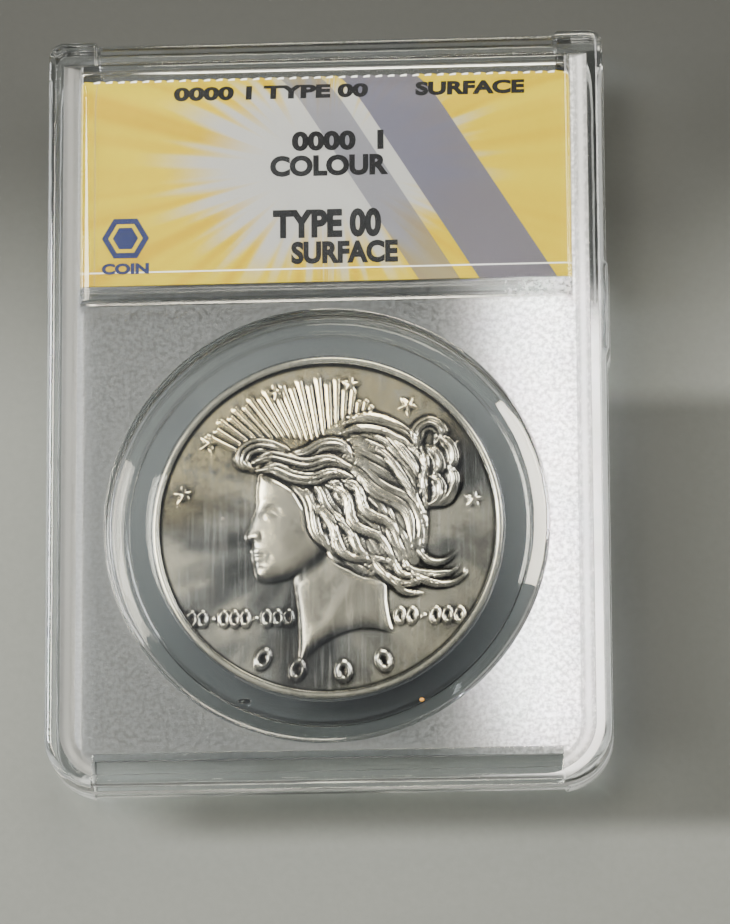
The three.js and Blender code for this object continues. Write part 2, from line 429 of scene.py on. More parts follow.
def clear_plastic(name, frosted):
    """Moulded clear plastic: polished windows, label block and rim, with fine scratches and a
    slight ripple; the sunk field and its slopes are finely grained where frosted is set. The grained
    haze carries painted light: a painted sheen towards the right, banks a little lighter on the right,
    a painted highlight along the banks' crests and a white painted highlight on the right-hand rim.
    Lamps shine through it as through a sheet that only dims them."""
    f = Finish(name)
    x, y, z, at = f.place()
    scratch = f.noise(at, 1.1, 3.0, 0.6, (1, 0.12, 1)).step(0.62, 0.75)
    rough = 0.02 + scratch * 0.05
    normal = f.bumps(f.noise(at, 9.0, 1.0) * 0.5, 0.007)
    lamps = f.node("ShaderNodeLightPath", output="Is Shadow Ray")
    if frosted:
        grained, right, bank, crest_highlight, rim = grained_areas(x, y, z)
        cells = f.noise(at, 0.5, 2.0, 0.6).step(0.32, 0.68)
        streaks = f.noise(at, 0.3, 2.0, 0.6, (1, 0.3, 1)).step(0.35, 0.65)
        rough = rough + grained * 0.36
        normal = f.bumps(f.noise(at, 0.16, 2.0, 0.6) * grained, 0.02, normal)
        # the haze's colour: dim on the left, painted lighter towards the right as a painted sheen
        tone = f.blend(right, f.blend(cells, *DIM_HAZE), f.blend(cells, *SHEEN_PAINTED_HAZE))
        # greyer, streaked haze on the banks, a little lighter on the right as painted light
        tone = f.blend(bank * (streaks * -0.4 + 0.9), tone, f.blend(right, *BANK_HAZE))
        # painted highlight along the banks' crests
        tone = f.blend(crest_highlight * 0.7, tone, f.blend(right, *CREST_HIGHLIGHT_HAZE))
        # painted highlight: the rim on the right painted white
        tone = f.blend(rim, tone, grey(1.0))
        # more haze towards the right and on the right-hand rim, for the painted sheen and highlight
        share = grained * (right * 0.38 + 0.58) + rim * 0.85
        lamps = (1 - grained * GRAIN_SHADE) * lamps
    else:
        tone = grey(0.6, -0.04)
        share = y.step(-30.0, -6.0) * 0.016 + scratch * 0.012 + 0.003
    glass = f.shader("ShaderNodeBsdfPrincipled", {
        "Base Color": CLEAR_TINT, "Roughness": rough, "IOR": 1.57,
        "Transmission Weight": 1.0, "Normal": normal})
    haze = f.shader("ShaderNodeBsdfPrincipled", {
        "Base Color": tone, "Roughness": 0.5, "Specular IOR Level": 0.2, "Normal": normal})
    body = f.node("ShaderNodeMixShader", inputs={0: share, 1: glass, 2: haze})
    through = f.shader("ShaderNodeBsdfTransparent", {"Color": CLEAR_SHADOW})
    return f.done(f.node("ShaderNodeMixShader", inputs={0: lamps, 1: body, 2: through}))


# Toning spots on the coin, from its middle: X, Y and radius
SPOTS = [(-11.4, 1.2, 0.22), (-16.4, 2.6, 0.15), (2.4, 13.4, 0.12)]


def struck_silver():
    """Lightly toned silver, greyer in the fields, warm towards the rays and the lower right, with brushed
    hairlines, small nicks and a few spots. Light is painted into it as well: dark and bright sectors of
    painted reflection for its lustre, a painted highlight on the relief's high points, and hollows dark
    with patina that painted shade deepens."""
    f = Finish("struck_silver")
    x, y, _, at = f.place()
    relief = f.node("ShaderNodeAttribute", {"attribute_name": "relief"}, output="Fac")
    hollow = f.node("ShaderNodeAttribute", {"attribute_name": "hollow"}, output="Fac")
    cloud = f.noise(at, 7.0, 4.0, 0.6)
    mottle = f.noise(at, 1.4, 4.0, 0.65)
    lines = f.noise(at, 0.35, 3.0, 0.6, (1, 0.04, 1))
    tone = f.blend(cloud.step(0.35, 0.65), *FIELD_SILVER)
    off = y - COIN_Y
    # warmer towards the rays and the lower right
    warm = (off - x * 0.3).step(2.0, 13.0) * 0.8 + (x - off).step(14.0, 30.0) * 0.4
    radius = far(x, off)
    # painted reflection: dark and bright sectors fanning out from the middle, for the coin's lustre
    spokes = {0: x / radius, 1: off / radius, 2: radius * 0.03}
    spokes = f.node("ShaderNodeCombineXYZ", inputs=spokes)
    painted_sheen = f.node("ShaderNodeTexNoise", inputs={"Vector": spokes, "Scale": 1.7, "Detail": 3.0})
    tone = f.blend(painted_sheen.step(0.55, 0.40), tone, PAINTED_DARK_SHEEN)
    tone = f.blend(painted_sheen.step(0.52, 0.63), tone, PAINTED_BRIGHT_SHEEN)
    tone = f.blend(lines.step(0.5, 0.62) * 0.2, tone, HAIRLINE_SILVER)
    tone = f.blend(warm * mottle.step(0.2, 0.6), tone, WARM_TINT)
    # painted highlight: the relief's high points painted bright and warm
    tone = f.blend(relief.step(0.10, 0.30), tone, RELIEF_HIGHLIGHT_SILVER)
    # the hollows darkened: patina, deepened as painted shade round the relief
    tone = f.blend(hollow.step(0.0, 1.0), tone, HOLLOW_PATINA_SHADE)
    spots = f.noise(at, 2.3, 5.0, 0.7).step(0.70, 0.76)
    for spot_x, spot_y, size in SPOTS:
        away = far(x - spot_x, off - spot_y)
        spots = spots + (away + mottle * 0.3).step(size + 0.2, size)
    tone = f.blend(spots * 0.7, tone, SPOT_BROWN)
    patches = f.noise(at, 3.2, 4.0, 0.7).step(0.52, 0.68)
    tone = f.blend(patches * 0.35, tone, PATCH_GREY)
    rough = 0.12 + mottle * 0.08 + lines.step(0.5, 0.75) * 0.06 + spots * 0.2
    nicks = f.noise(at, 0.8, 2.0, 0.5).step(0.70, 0.75)
    normal = f.bumps(lines * 0.6 - nicks, 0.0016)
    return f.done(f.shader("ShaderNodeBsdfPrincipled", {
        "Base Color": tone, "Metallic": 1.0, "Roughness": rough, "Normal": normal}))


def printed_card(name, plain):
    """Smooth card, off-white in the middle with gold beams towards both sides, two slanted violet
    bands, a dark painted-shade line inside one side and a pale painted-highlight line along its foot,
    and pale gaps where its end was perforated; plain leaves all of these out."""
    f = Finish(name)
    uv = f.node("ShaderNodeUVMap", {"uv_map": "UVMap"})
    parts = f.node("ShaderNodeSeparateXYZ", inputs={0: uv}).socket.node
    u, v = Value(f, parts.outputs[0]), Value(f, parts.outputs[1])
    fibre = f.noise(f.where(), 0.22, 3.0, 0.6)
    colour = f.blend(fibre, *CARD_WHITE)
    if not plain:
        beam_x, beam_y = abs(u) - 1.0, v - 13.0
        turn = {0: beam_y.maths("ARCTAN2", beam_x), 1: u.step(-1.0, 1.0) * 7.3}
        turn = f.node("ShaderNodeCombineXYZ", inputs=turn)
        beams = f.node("ShaderNodeTexNoise", inputs={
            "Vector": turn, "Scale": 5.2, "Detail": 1.5, "Roughness": 0.7})
        reach = (beam_x * beam_x + beam_y * beam_y * 1.6).maths("SQRT").step(3.0, 23.0)
        gilt = (reach * 1.5 + beams.step(0.42, 0.58) * 0.6).step(0.6, 1.5)
        colour = f.blend(gilt, colour, f.blend(beams.step(0.42, 0.66), *CARD_GOLD))
        lean = u + v * 0.62
        bands = abs(lean - 21.0).step(4.3, 4.2) * 0.95 + abs(lean - 12.4).step(2.3, 2.2) * 0.7
        colour = f.blend(bands, colour, CARD_VIOLET)
        # painted shade: a dark line inside one side
        colour = f.blend(abs(u + CARD_X - 1.3).step(0.12, 0.03) * 0.5, colour, SHADE_LINE_BROWN)
        # painted highlight: a pale line along the foot
        colour = f.blend(abs(v - 1.5).step(0.12, 0.04) * 0.8, colour, grey(0.85))
        gaps = (u * (2 * math.pi / TEAR_PITCH)).maths("SINE").step(-0.3, 0.2)
        colour = f.blend(v.step(FRONT_RUN - 0.5, FRONT_RUN - 0.35) * gaps, colour, grey(0.9))
    return f.done(f.shader("ShaderNodeBsdfPrincipled", {
        "Base Color": colour, "Roughness": 0.6, "Specular IOR Level": 0.1,
        "Normal": f.bumps(fibre, 0.004)}))


def ink(name, colour):
    """Printed ink with a slight mottle."""
    f = Finish(name)
    mottle = f.noise(f.where(), 0.3, 2.0)
    shade = f.blend(mottle, colour, tuple(min(1, 1.6 * c + 0.004) for c in colour[:3]) + (1,))
    return f.done(f.shader("ShaderNodeBsdfPrincipled", {
        "Base Color": shade, "Roughness": 0.6, "Specular IOR Level": 0.1}))


# ---------------------------------------------------------------- the holder

def outer_height(u, v):
    """Height of the outer face above the seam, before the coin window is sunk: the rim with its
    rounded edge, the lower rails set back at both ends, the sloped field and the label block."""
    across, end = np.abs(u), HALF_Y - np.abs(v)
    rim = RIM_H - EDGE_ROUND + quarter(np.minimum(HALF_X - across, end), EDGE_ROUND)
    rail = RAIL_H - RAIL_ROUND + quarter(end - RAIL_SET_BACK, RAIL_ROUND)
    ledge = LEDGE_H - LEDGE_ROUND + quarter(end, LEDGE_ROUND)
    rail = ledge + (rail - ledge) * edge(end - RAIL_SET_BACK, 0.04)
    beside = edge(across - RAIL_X, 0.06)
    top = rail + (rim - rail) * beside
    aside, below = across - SLOPE_IN + TURN_R, TURN_Y - v
    beyond = np.hypot(np.maximum(aside, 0), np.maximum(below, 0)) - TURN_R
    slope = FIELD_H + (RIM_H - FIELD_H) * np.clip(beyond / (SLOPE_OUT - SLOPE_IN), 0, 1)
    sunk = np.maximum(edge(v - FIELD_LOW, 0.06), beside) * edge(FIELD_HIGH - v, 0.06)
    top = top + (np.minimum(top, slope) - top) * sunk
    inset = np.minimum(np.minimum(BLOCK_X - across, v - BLOCK_LOW), BLOCK_HIGH - v)
    block = BLOCK_H - BLOCK_ROUND + quarter(inset, BLOCK_ROUND)
    raised = top + (np.maximum(top, block) - top) * smoothstep(-0.05, 0.03, inset)
    return np.where(inset > -0.05, raised, top)


def inner_height(u, v):
    """Height of the inner face above the seam: the wall that meets the other half, the hollow round
    the coin, and the card's pocket, whose end is rounded."""
    across = np.abs(u)
    hollow = edge(BLOCK_X - across) * edge(v - HOLLOW_LOW) * edge(HOLLOW_HIGH - v)
    room = edge(POCKET_X - across) * edge(v - POCKET_LOW)
    pocket = POCKET_H - POCKET_ROUND + quarter(POCKET_HIGH - v, POCKET_ROUND)
    pocket = np.where(v < POCKET_HIGH, pocket, WELD_GAP)
    return WELD_GAP + (HOLLOW_H - WELD_GAP) * hollow + (pocket - WELD_GAP) * room


def outer_window(radius):
    """Height of the outer face at a distance from the coin's axis: a shallow dish with a bevel and a
    fine raised lip."""
    bevel = np.clip((WINDOW_R - radius) / WINDOW_BEVEL, 0, 1)
    lip = WINDOW_LIP * np.exp(-((radius - WINDOW_R) / LIP_HALF) ** 2)
    return FIELD_H + (WINDOW_H - FIELD_H) * bevel + lip


def inner_window(radius):
    """Height of the inner face at a distance from the coin's axis: the ring's seat and its rib."""
    rib = edge(RIB_R - radius, 0.04)
    seat = edge(SEAT_R - radius, 0.04)
    return HOLLOW_H + (WELD_GAP - HOLLOW_H) * rib + (SEAT_H - WELD_GAP) * seat


# Grid lines of the holder's faces: half a millimetre apart over a square round the window, close
# together at each edge, and all on a fine raster so that none falls on top of another
RASTER = 0.02
PATCH_CELLS = 98
NEAR = np.array([-0.3, -0.12, -0.04, 0.0, 0.04, 0.12, 0.3])
COLUMN_GAP = 1.0
ROW_GAP = 0.7


def grid_lines(edges, middle, half, spread):
    """Lines from -half to half: each edge's own, the middle's, and one at every spread outside it."""
    lines = (np.array(edges)[:, None] + NEAR).ravel()
    apart = [np.arange(middle[-1], half, spread), -np.arange(-middle[0], half, spread)]
    lines = np.concatenate([lines] + apart)
    lines = lines[(lines < middle[0]) | (lines > middle[-1])]
    lines = np.concatenate([lines[np.abs(lines) <= half], middle, [-half, half]])
    return np.unique(np.round(lines / RASTER)) * RASTER


def on_slab(u, v):
    """Bends the grid's corners to the slab's outline: round ones at the coin end, tight ones at the
    label end, and a thin tab on its right side."""
    x, y = u.copy(), v.copy()
    for end, radius in ((-1, COIN_CORNER), (1, LABEL_CORNER)):
        for side in (-1, 1):
            a = (side * u - (HALF_X - radius)) / radius
            b = (end * v - (HALF_Y - radius)) / radius
            corner = (a > 0) & (b > 0)
            ax, by = disc_of(a[corner], b[corner], 0.2)
            x[corner] = side * (HALF_X - radius + radius * ax)
            y[corner] = end * (HALF_Y - radius + radius * by)
    tab = edge(v - TAB_LOW, 0.3) * edge(TAB_HIGH - v, 0.3)
    return x + TAB_OUT * tab * smoothstep(HALF_X - 0.3, HALF_X, u), y


def outline_of(index):
    """The point numbers round the outside of a grid, anticlockwise."""
    return np.concatenate([index[0, :-1], index[:-1, -1], index[-1, :0:-1], index[:0:-1, 0]])


def face_of_half(height, window, radii, scale):
    """One face of a half: a grid over the slab with a round patch of rings in place of the square
    round the window. Gives its points, its faces and the numbers of its outline."""
    middle = np.linspace(-PATCH, PATCH, PATCH_CELLS + 1)
    ends = [HALF_X, HALF_X - EDGE_ROUND, SLOPE_OUT, SLOPE_IN, BLOCK_X, RAIL_X]
    us = grid_lines(ends + [-e for e in ends], middle, HALF_X, COLUMN_GAP)
    ends = [HALF_Y, HALF_Y - RAIL_SET_BACK, HALF_Y - EDGE_ROUND]
    ends += [-e for e in ends]
    ends += [BLOCK_HIGH, FIELD_HIGH, POCKET_HIGH - POCKET_ROUND, TAB_HIGH, TAB_LOW, POCKET_LOW,
             BLOCK_LOW + BLOCK_ROUND, BLOCK_LOW, HOLLOW_HIGH, HOLLOW_LOW, FIELD_LOW]
    vs = grid_lines(ends, middle + COIN_Y, HALF_Y, ROW_GAP)
    u, v = np.meshgrid(us, vs)
    index = np.arange(u.size).reshape(u.shape)
    x, y = on_slab(u, v)
    points = np.stack([x * scale, y * scale, height(u, v)], -1).reshape(-1, 3)
    cols = np.abs(us) <= PATCH + 1e-6
    rows = np.abs(vs - COIN_Y) <= PATCH + 1e-6
    hole = index[np.ix_(rows, cols)]
    cell = np.zeros(u.shape, bool)
    cell[np.ix_(rows, cols)] = True
    removed = cell[:-1, :-1] & cell[1:, :-1] & cell[:-1, 1:] & cell[1:, 1:]
    faces = [quads(index)[~removed.ravel()]]
    square = outline_of(hole)
    corner = points[square, :2] - [0, COIN_Y]
    way = corner / np.hypot(corner[:, 0], corner[:, 1])[:, None]
    rings = [np.column_stack([way * r + [0, COIN_Y], np.full(len(way), window(r))]) for r in radii]
    count = len(points)
    table = np.vstack([square, count + np.arange(len(radii) * len(way)).reshape(len(radii), -1)])
    faces.append(quads(looped(table)))
    hub = count + len(radii) * len(way)
    rim = looped(table[-1:])[0]
    faces.append(np.stack([rim[:-1], rim[1:], np.full(len(way), hub)], -1))
    points = np.vstack([points] + rings + [[[0, COIN_Y, window(0.0)]]])
    used = np.zeros(len(points), bool)
    for table in faces:
        used[table] = True
    number = np.cumsum(used) - 1
    return points[used], [number[table] for table in faces], number[outline_of(index)]


def holder_half(name, node, side, material):
    """Half of the holder: an outer face, an inner face and the wall between their outlines, turned
    over for the back by side = -1."""
    bevel = WINDOW_R - WINDOW_BEVEL
    radii = [WINDOW_R + off for off in (0.3, 0.2, 0.13, 0.06, 0, -0.06, -0.13, -0.2, -0.3, -0.8)]
    radii += [bevel + off for off in (0.3, 0.08, 0, -0.08, -0.3)] + [21, 19, 16, 12, 8, 4]
    outer, outer_faces, outer_rim = face_of_half(outer_height, outer_window, radii, 1.0)
    radii = [RIB_R + off for off in (0.2, 0.06, 0, -0.06)]
    radii += [SEAT_R + off for off in (0.06, 0, -0.06, -0.3)] + [21, 16, 10, 5]
    inner, inner_faces, inner_rim = face_of_half(inner_height, inner_window, radii, SEAM_SCALE)
    top = outer[outer_rim]
    levels = [0.75, 0.5, 0.25, 0.05]
    wall = [np.column_stack([top[:, :2], WELD_GAP + (top[:, 2] - WELD_GAP) * t]) for t in levels]
    size = len(outer_rim)
    start = len(outer) + len(inner)
    table = np.vstack([outer_rim, start + np.arange(len(levels) * size).reshape(-1, size),
                       inner_rim + len(outer)])
    points = np.vstack([outer, inner] + wall)
    points[:, 2] = SEAM + side * points[:, 2]
    faces = outer_faces + [t + len(outer) for t in inner_faces] + [quads(looped(table))]
    return piece(name, points, faces, material, [node])


def weld_line(material):
    """The remelted line between the halves: a flattened oval carried round the slab's outline, whose
    X and Y are a small power of a cosine and a sine; its width wanders as the melt ran."""
    steps, sides = 900, 10
    lap = np.linspace(0, 1, steps, endpoint=False)
    x, y = HALF_X - WELD_INSET, HALF_Y - WELD_INSET
    turn = lap * 2 * math.pi
    px, py = (half * np.sign(wave) * np.abs(wave) ** WELD_POWER
              for half, wave in ((x, np.cos(turn)), (y, np.sin(turn))))
    spacing = np.concatenate([[0], np.cumsum(np.hypot(np.diff(px), np.diff(py)))])
    even = np.linspace(0, spacing[-1], steps, endpoint=False)
    px, py = np.interp(even, spacing, px), np.interp(even, spacing, py)
    width = WELD_HALF * (1 + 0.05 * np.sin(23 * turn) + 0.04 * np.sin(61 * turn + 1))
    out = np.stack([px / x, py / y], -1) ** 9
    out = out / np.hypot(out[:, 0], out[:, 1])[:, None]
    section = np.linspace(0, 2 * math.pi, sides, endpoint=False)
    reach = width[:, None] * np.cos(section)
    points = np.stack([px[:, None] + out[:, :1] * reach, py[:, None] + out[:, 1:] * reach,
                       SEAM + WELD_THICK * np.sin(section) + 0 * reach], -1)
    index = np.arange(steps * sides).reshape(steps, sides)
    return piece("weld_line", points.reshape(-1, 3), [quads(looped(np.vstack([index, index[:1]])))],
                 material, ["weld_bead"])


def ring_half(name, node, side, material):
    """Half of the ring that clamps the coin: a collar with a stepped shoulder and a thin lip over the
    coin's rim, every corner rounded."""
    shoulder, under_lip, split = RING_HALF - SHOULDER_DROP, RING_HALF - LIP_THICK, 0.02
    profile = rounded([(RING_BORE, split), (RING_R, split), (RING_R, shoulder),
                       (SHOULDER_R + SHOULDER_RUN, shoulder), (SHOULDER_R, RING_HALF),
                       (RING_LIP, RING_HALF), (RING_LIP, under_lip), (RING_BORE, under_lip)], 0.1)
    profile[:, 1] = SEAM + side * profile[:, 1]
    points, faces = turned(profile, 288)
    return piece(name, points, faces, material, [node])


def dome_on_ring(name, x, below, size, material, steps=24):
    """A small closed dome on the front ring, its flat side down: circles of latitude scaled to the
    given half-sizes, at x and so far below the coin's middle."""
    middle = np.array([x, COIN_Y - below, SEAM + RING_HALF - 0.01])
    turn = np.linspace(0, 2 * math.pi, steps, endpoint=False)[None, :]
    rise = np.linspace(0, math.pi / 2, 6)[:-1, None]
    ball = np.stack([np.cos(rise) * np.cos(turn), np.cos(rise) * np.sin(turn),
                     np.sin(rise) + 0 * turn], -1).reshape(-1, 3)
    points = middle + np.vstack([ball, [[0, 0, 1]]]) * size
    index = np.arange(len(ball)).reshape(-1, steps)
    rim = looped(index[-1:])[0]
    crown = np.stack([rim[:-1], rim[1:], np.full(steps, len(ball))], -1)
    faces = [quads(looped(index)), crown, index[:1, ::-1]]
    return piece(name, points, faces, material)


# ---------------------------------------------------------------- the coin

def curve(points, steps=8, closed=False):
    """A Catmull-Rom curve through points: between two of them, the cubic whose slope at each is
    half the step from the point before it to the point after it."""
    p = np.asarray(points, float)
    p = np.vstack([p[-1], p, p[:2]]) if closed else np.vstack([2 * p[0] - p[1], p, 2 * p[-1] - p[-2]])
    a, b, c, d = (p[k:len(p) - 3 + k, None] for k in range(4))
    t = np.linspace(0, 1, steps, endpoint=False)[None, :, None]
    out = 0.5 * (2 * b + (c - a) * t + (2 * a - 5 * b + 4 * c - d) * t ** 2
                 + (3 * b - a - 3 * c + d) * t ** 3).reshape(-1, 2)
    return out if closed else np.vstack([out, p[-2]])


def along(x, y, path):
    """For each point, its distance to a path, how far along the path its nearest point is, from 0
    to 1, and the side it lies on, +1 left or -1 right."""
    step = np.diff(path, axis=0)
    length = np.hypot(step[:, 0], step[:, 1])
    start = np.concatenate([[0.0], np.cumsum(length)])
    best, place, side = np.full(x.shape, 1e9), np.zeros(x.shape), np.ones(x.shape)
    for k, (sx, sy) in enumerate(step):
        px, py = x - path[k, 0], y - path[k, 1]
        t = np.clip((px * sx + py * sy) / max(length[k] ** 2, 1e-12), 0, 1)
        d = np.hypot(px - t * sx, py - t * sy)
        near = d < best
        best = np.where(near, d, best)
        place = np.where(near, (start[k] + t * length[k]) / start[-1], place)
        side = np.where(near, np.sign(sx * py - sy * px), side)
    return best, place, side


def inside(x, y, outline):
    """Signed distance to a closed outline, positive inside: the distance to its nearest edge, with
    the sign from how many edges a ray to the right crosses."""
    ring = np.vstack([outline, outline[:1]])
    crossed = np.zeros(x.shape, bool)
    for (ax, ay), (bx, by) in zip(ring[:-1], ring[1:]):
        if ay != by:
            crossed ^= ((ay > y) != (by > y)) & (x < (bx - ax) * (y - ay) / (by - ay) + ax)
    return np.where(crossed, 1, -1) * along(x, y, ring)[0]


def near_path(x, y, path, reach):
    """Which points lie in the box round a path, widened by reach."""
    low, high = path.min(0) - reach, path.max(0) + reach
    return (x > low[0]) & (x < high[0]) & (y > low[1]) & (y < high[1])


def mound(x, y, centre, size, height, turn=0.0):
    """A Gaussian mound: size is its half-width along and across, turned by turn degrees."""
    c, s = math.cos(math.radians(turn)), math.sin(math.radians(turn))
    px, py = x - centre[0], y - centre[1]
    u, v = (c * px + s * py) / size[0], (c * py - s * px) / size[1]
    return height * np.exp(-(u * u + v * v))


def ridge(x, y, points, width, height):
    """A soft line through points whose section is Gaussian, fading over a quarter at each end."""
    path = curve(points, 6)
    near = near_path(x, y, path, 3 * width)
    d, t, _ = along(x[near], y[near], path)
    out = np.zeros(x.shape)
    out[near] = height * np.exp(-(d / width) ** 2) * smoothstep(0, 0.25, t) * smoothstep(0, 0.25, 1 - t)
    return out


def lock(x, y, base, path, width, height, strands=3, root=0.3, tip=0.5):
    """A lock of hair laid on a base: half round across, grooved along its length into strands, its
    width swelling over root of its length and running out over tip of it. Beside it the base sinks
    a little, so its edge stands clear."""
    near = near_path(x, y, path, 1.8 * width)
    d, t, side = along(x[near], y[near], path)
    w = width * np.clip(t / root, 0.15, 1) ** 0.6 * np.clip((1 - t) / tip, 0.08, 1) ** 0.6
    u = d / w
    groove = 0.74 + 0.26 * np.cos(math.pi * strands * side * np.minimum(u, 1))
    top = 1.2 * height * np.sqrt(np.clip(1 - u * u, 0, 1)) * groove * (0.35 + 0.65 * w / width)
    under = base[near]
    beside = under * (1 - 0.35 * np.clip((1.7 - u) / 0.7, 0, 1))
    out = base.copy()
    out[near] = np.where(u < 1, np.maximum(beside, under * 0.35 + top), beside)
    return out


def family(first, last, count, wave, waves, seed):
    """Paths that blend from one guide curve to another, each with its own wave to either side,
    which grows from nothing at the root."""
    rng = np.random.default_rng(seed)
    s = np.linspace(0, 1, 40)
    guides = []
    for points in (first, last):
        p = curve(points, 8)
        length = np.concatenate([[0], np.cumsum(np.hypot(*np.diff(p, axis=0).T))])
        guides.append(np.stack([np.interp(s * length[-1], length, p[:, k]) for k in (0, 1)], 1))
    paths = []
    for k in range(count):
        f = (k + 0.5 + 0.25 * rng.uniform(-1, 1)) / count
        p = guides[0] * (1 - f) + guides[1] * f
        step = np.gradient(p, axis=0)
        normal = np.stack([-step[:, 1], step[:, 0]], 1) / np.hypot(step[:, 0], step[:, 1])[:, None]
        phase = 2 * math.pi * (0.35 * rng.uniform(-1, 1) + 0.4 * f)
        swing = wave * (np.sin(2 * math.pi * waves * s + phase) - math.sin(phase))
        p = p + normal * (swing * np.minimum(1, 4 * s))[:, None]
        start, stop = rng.uniform(0, 0.10), 1 - rng.uniform(0, 0.12)
        paths.append(p[(s >= start) & (s <= stop)])
    return [paths[k] for k in rng.permutation(count)]


def star(x, y, centre, size, turn, points=5, waist=0.382):
    """Distance inside a star's outline, positive inside, from its folded wedge's one edge."""
    px, py = x - centre[0], y - centre[1]
    half = math.pi / points
    angle = np.abs((np.arctan2(py, px) - turn + half) % (2 * half) - half)
    r = np.hypot(px, py)
    bx, by = waist * size * math.cos(half), waist * size * math.sin(half)
    ex, ey = bx - size, by
    return (ex * r * np.sin(angle) - ey * (r * np.cos(angle) - size)) / math.hypot(ex, ey)


# The face's forms: mounds as centre, half-widths, height and turn, and lines as points, width and
# height
FACE_MOUNDS = [
    ((-4.9, -0.9), (2.0, 1.7), 0.055, 30),      # cheek
    ((-6.35, 1.75), (0.95, 0.62), -0.085, -8),  # eye socket
    ((-6.5, 2.95), (1.3, 0.38), 0.035, -6),     # brow
    ((-6.35, 1.42), (0.52, 0.34), 0.075, -5),   # eyeball
    ((-7.72, -0.95), (0.42, 0.38), 0.055),      # wing of the nose
    ((-8.15, -1.3), (0.26, 0.13), -0.05, 15),   # nostril
    ((-7.7, -2.5), (0.6, 0.28), 0.022, -8),     # upper lip
    ((-7.65, -3.4), (0.5, 0.28), 0.022, 5),     # lower lip
    ((-6.4, -3.2), (0.3, 0.4), -0.03),          # corner of the mouth
    ((-7.35, -4.1), (0.6, 0.25), -0.03),        # under the lip
    ((-7.1, -4.95), (0.8, 0.65), 0.035),        # chin
    ((-5.8, -2.1), (0.8, 1.2), -0.02, 25),      # beside the mouth
    ((-3.4, -3.6), (2.0, 0.8), 0.03, 33),       # jaw
]
FACE_LINES = [
    ([(-6.98, 1.32), (-6.5, 1.86), (-5.85, 1.82), (-5.2, 1.42)], 0.12, 0.06),
    ([(-6.92, 1.2), (-6.4, 0.98), (-5.75, 1.02), (-5.3, 1.25)], 0.10, 0.035),
    ([(-7.0, 1.95), (-6.4, 2.3), (-5.6, 2.2), (-5.0, 1.75)], 0.11, -0.025),
    ([(-7.55, -0.35), (-7.2, -0.75), (-7.3, -1.4)], 0.13, -0.035),
    ([(-8.25, -2.98), (-7.6, -2.93), (-6.95, -3.02), (-6.6, -3.15)], 0.14, -0.045),
]

# Hair, as a first and a last guide curve, how many locks lie between them, how far and how often they
# wave, a seed, and each lock's half-width and height
HAIR = [
    ([(0.4, 7.6), (3.4, 6.4), (6.6, 4.2), (9.6, 1.8)],
     [(1.4, 12.4), (4.6, 12.5), (8.0, 11.4), (10.3, 9.2)], 11, 0.10, 1.2, 21, 0.58, 0.20),
    ([(-6.4, 6.0), (-4.2, 4.2), (-2.3, 1.4), (-1.2, -1.8), (1.4, -4.6), (5.4, -6.2)],
     [(1.8, 7.8), (5.0, 6.0), (8.0, 3.8), (10.2, 1.4), (11.0, -1.6), (9.9, -4.4)],
     11, 0.42, 2.1, 22, 0.74, 0.25),
    ([(-4.4, 5.4), (-1.8, 3.0), (-0.4, 0.0), (1.6, -2.8), (4.6, -4.6), (7.6, -6.2)],
     [(0.4, 6.6), (3.0, 4.2), (5.2, 1.6), (7.2, -0.6), (9.0, -2.8), (9.4, -4.8)],
     4, 0.50, 2.5, 5, 0.60, 0.31),
    ([(3.4, 9.2), (6.2, 7.6), (8.4, 5.0), (9.8, 2.0), (10.6, -0.6)],
     [(4.8, 11.8), (7.9, 10.4), (10.1, 7.8), (10.8, 4.6), (11.1, 1.0)], 5, 0.22, 1.4, 11, 0.52, 0.28),
    ([(2.6, -3.4), (4.8, -5.4), (7.4, -6.4), (10.0, -6.7), (12.0, -7.6)],
     [(8.6, -2.6), (9.8, -4.8), (11.6, -5.6), (13.4, -4.8), (14.6, -3.4)], 5, 0.30, 1.5, 3, 0.50, 0.27),
]
# Single locks, as the points of their curve and their half-width
LOOSE_ENDS = [
    ([(0.8, 10.2), (3.6, 11.0), (6.6, 10.4), (9.2, 8.6)], 0.50),
    ([(1.2, 11.4), (4.0, 12.0), (7.0, 11.3), (9.6, 9.6)], 0.48),
    ([(2.2, 12.3), (5.2, 12.3), (8.2, 11.1), (9.8, 9.9)], 0.45),
    ([(9.6, -2.4), (11.0, -4.0), (12.6, -4.0), (14.0, -2.9)], 0.42),
    ([(8.6, -4.8), (10.8, -6.3), (13.2, -6.5), (14.8, -5.6), (14.9, -4.8)], 0.42),
    ([(6.6, -5.6), (8.2, -7.3), (10.4, -7.6)], 0.40),
]
KNOT = [
    ([(9.8, 8.6), (9.9, 10.6), (11.2, 11.4), (12.4, 10.4), (11.7, 8.9)], 0.80),
    ([(12.2, 9.9), (13.4, 8.6), (13.6, 7.0), (12.6, 6.0)], 0.72),
    ([(10.9, 8.7), (11.9, 7.6), (12.1, 6.4), (11.2, 5.4)], 0.72),
    ([(13.2, 6.6), (13.7, 4.9), (12.9, 3.0), (11.9, 2.2)], 0.74),
    ([(11.0, 5.6), (12.1, 4.6), (12.0, 3.0), (10.9, 2.2)], 0.74),
    ([(10.2, 8.6), (10.7, 6.8), (10.4, 5.0), (10.7, 2.6)], 0.50),
]
BROW_ROLL = [
    ([(-8.2, 6.6), (-9.2, 7.4), (-8.9, 8.7), (-7.4, 9.3), (-5.4, 8.8), (-3.2, 7.7)], 0.95),
    ([(-4.4, 8.2), (-2.4, 8.2), (-0.4, 9.2), (1.6, 9.0), (2.8, 7.4)], 0.85),
    ([(-8.0, 7.4), (-6.4, 7.9), (-4.4, 7.4), (-2.2, 6.9), (0.2, 7.4), (2.9, 6.4)], 0.90),
    ([(-7.6, 6.4), (-5.8, 6.6), (-3.8, 5.7), (-1.6, 5.4), (0.6, 6.0), (3.0, 5.4)], 0.80),
]


